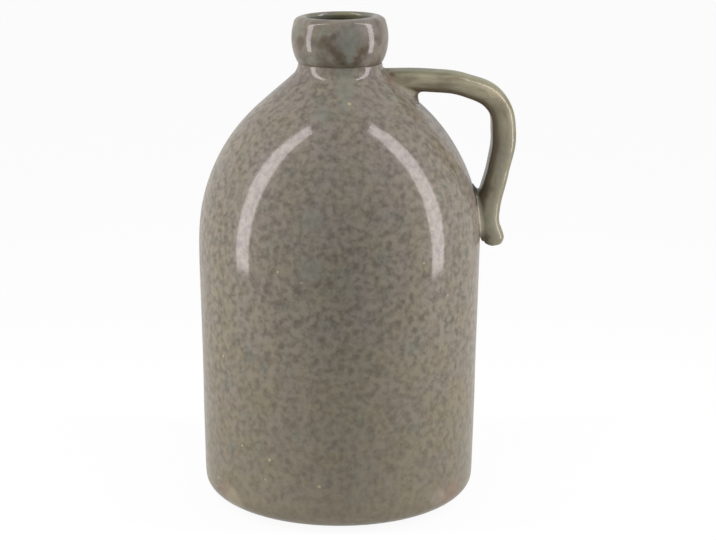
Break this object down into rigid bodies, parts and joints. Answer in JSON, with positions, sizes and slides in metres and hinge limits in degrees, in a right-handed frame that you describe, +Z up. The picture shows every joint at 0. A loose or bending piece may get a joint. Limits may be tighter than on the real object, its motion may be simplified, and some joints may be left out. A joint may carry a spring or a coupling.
{
  "type": "ceramic bottle",
  "caption": "Glazed ceramic bottle in the form of a jug: straight round body, domed shoulder, rolled collar round an open mouth, and a strap handle for carrying and pouring.",
  "frame": {"origin": "centre of the flat underside, on the jug's axis, at the surface it stands on", "axes": "+Z up along the jug's axis, +X towards the handle, +Y completes the right-handed frame; the picture looks along +Y"},
  "size_m": [0.2015, 0.18, 0.3113],
  "materials": {
    "body_glaze": "glossy glaze, mottled grey-mauve and olive with darker specks",
    "handle_glaze": "glossy plain olive glaze, paler where it breaks over edges",
    "foot_clay": "olive glaze thinning over the heel to a bare matt clay underside"
  },
  "bodies": {
    "root": {"base": "foot_clay", "wall": "body_glaze", "shoulder": "body_glaze", "collar": "body_glaze", "handle": "handle_glaze", "upper_luting": "handle_glaze", "lower_luting": "handle_glaze"}
  },
  "joints": []
}
